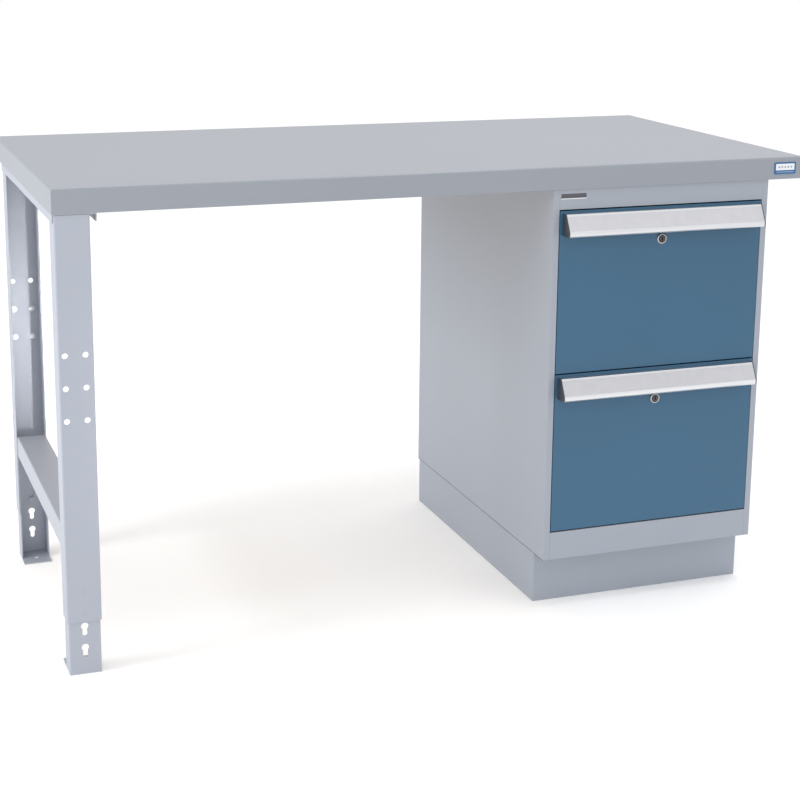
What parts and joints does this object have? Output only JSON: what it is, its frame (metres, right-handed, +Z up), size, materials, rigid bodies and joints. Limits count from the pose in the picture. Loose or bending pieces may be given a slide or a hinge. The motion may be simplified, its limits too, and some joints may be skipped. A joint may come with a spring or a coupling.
{
  "type": "workbench with drawers",
  "caption": "Steel-clad workbench top carried by an open channel-steel leg frame on the left and a deep drawer pedestal on a recessed plinth on the right, with full-width handles and locks.",
  "frame": {"origin": "on the floor, at the centre of the footprint of worktop and handles", "axes": "+X to the right along the worktop, -Y towards the person at the bench, +Z up"},
  "size_m": [1.524, 0.789, 0.914],
  "materials": {
    "worktop_paint": "fine satin powder coat",
    "leg_paint": "satin powder coat",
    "cabinet_paint": "satin powder coat",
    "drawer_paint": "satin powder coat",
    "aluminium": "brushed, clear anodised",
    "zinc": "zinc plated",
    "chrome": "polished",
    "black_plastic": "fine matt",
    "label_plastic": "satin",
    "plate_enamel": "gloss",
    "board": "pressed particle board"
  },
  "bodies": {
    "frame": {"worktop_skin": "worktop_paint", "worktop_core": "board", "name_plate": "plate_enamel", "front_upright": "leg_paint", "rear_upright": "leg_paint", "leg_top_bar": "leg_paint", "leg_crossbar": "leg_paint", "foot_studs": "leg_paint", "leg_bolts": "zinc", "accessory_bolts": "zinc", "housing_left_side": "cabinet_paint", "housing_right_side": "cabinet_paint", "housing_back": "cabinet_paint", "housing_top_pan": "cabinet_paint", "housing_bottom_pan": "cabinet_paint", "top_rail": "cabinet_paint", "bottom_rail": "cabinet_paint", "divider_rail": "cabinet_paint", "window_insert": "black_plastic", "plinth_skirt": "cabinet_paint", "plinth_back": "cabinet_paint", "left_posts": "zinc", "right_posts": "zinc", "pedestal_bolts": "zinc", "lower_strike": "zinc", "lower_rail_left": "zinc", "lower_rail_right": "zinc", "upper_strike": "zinc", "upper_rail_left": "zinc", "upper_rail_right": "zinc"},
    "front_foot": {"front_foot": "leg_paint"},
    "rear_foot": {"rear_foot": "leg_paint"},
    "lower_drawer": {"lower_tray": "cabinet_paint", "lower_front_panel": "drawer_paint", "lower_handle": "aluminium", "lower_cap_left": "black_plastic", "lower_cap_right": "black_plastic", "lower_label_strip": "label_plastic", "lower_lock_barrel": "chrome", "lower_lock_nut": "zinc", "lower_runner_left": "zinc", "lower_runner_right": "zinc"},
    "lower_mid_slides": {"lower_mid_left": "zinc", "lower_mid_right": "zinc"},
    "lower_lock": {"lower_lock_plug": "chrome", "lower_lock_cam": "zinc"},
    "upper_drawer": {"upper_tray": "cabinet_paint", "upper_front_panel": "drawer_paint", "upper_handle": "aluminium", "upper_cap_left": "black_plastic", "upper_cap_right": "black_plastic", "upper_label_strip": "label_plastic", "upper_lock_barrel": "chrome", "upper_lock_nut": "zinc", "upper_runner_left": "zinc", "upper_runner_right": "zinc"},
    "upper_mid_slides": {"upper_mid_left": "zinc", "upper_mid_right": "zinc"},
    "upper_lock": {"upper_lock_plug": "chrome", "upper_lock_cam": "zinc"}
  },
  "joints": [
    {"name": "front_foot_lift", "type": "slide", "parent": "frame", "child": "front_foot", "axis": [0, 0, -1], "range_m": [0, 0.0145]},
    {"name": "rear_foot_lift", "type": "slide", "parent": "frame", "child": "rear_foot", "axis": [0, 0, -1], "range_m": [0, 0.0145]},
    {"name": "lower_drawer_slide", "type": "slide", "parent": "frame", "child": "lower_drawer", "axis": [0, -1, 0], "range_m": [0, 0.55]},
    {"name": "lower_mid_slide", "type": "slide", "parent": "frame", "child": "lower_mid_slides", "axis": [0, -1, 0], "range_m": [0, 0.275]},
    {"name": "lower_lock_turn", "type": "hinge", "parent": "lower_drawer", "child": "lower_lock", "pos_m": [0.4445, -0.3635, 0.4297], "axis": [0, -1, 0], "range_deg": [0, 90]},
    {"name": "upper_drawer_slide", "type": "slide", "parent": "frame", "child": "upper_drawer", "axis": [0, -1, 0], "range_m": [0, 0.55]},
    {"name": "upper_mid_slide", "type": "slide", "parent": "frame", "child": "upper_mid_slides", "axis": [0, -1, 0], "range_m": [0, 0.275]},
    {"name": "upper_lock_turn", "type": "hinge", "parent": "upper_drawer", "child": "upper_lock", "pos_m": [0.4445, -0.3635, 0.76035], "axis": [0, -1, 0], "range_deg": [0, 90]}
  ],
  "couplings": [
    {"joint": "lower_mid_slide", "follows": "lower_drawer_slide", "ratio": 0.5},
    {"joint": "upper_mid_slide", "follows": "upper_drawer_slide", "ratio": 0.5}
  ]
}
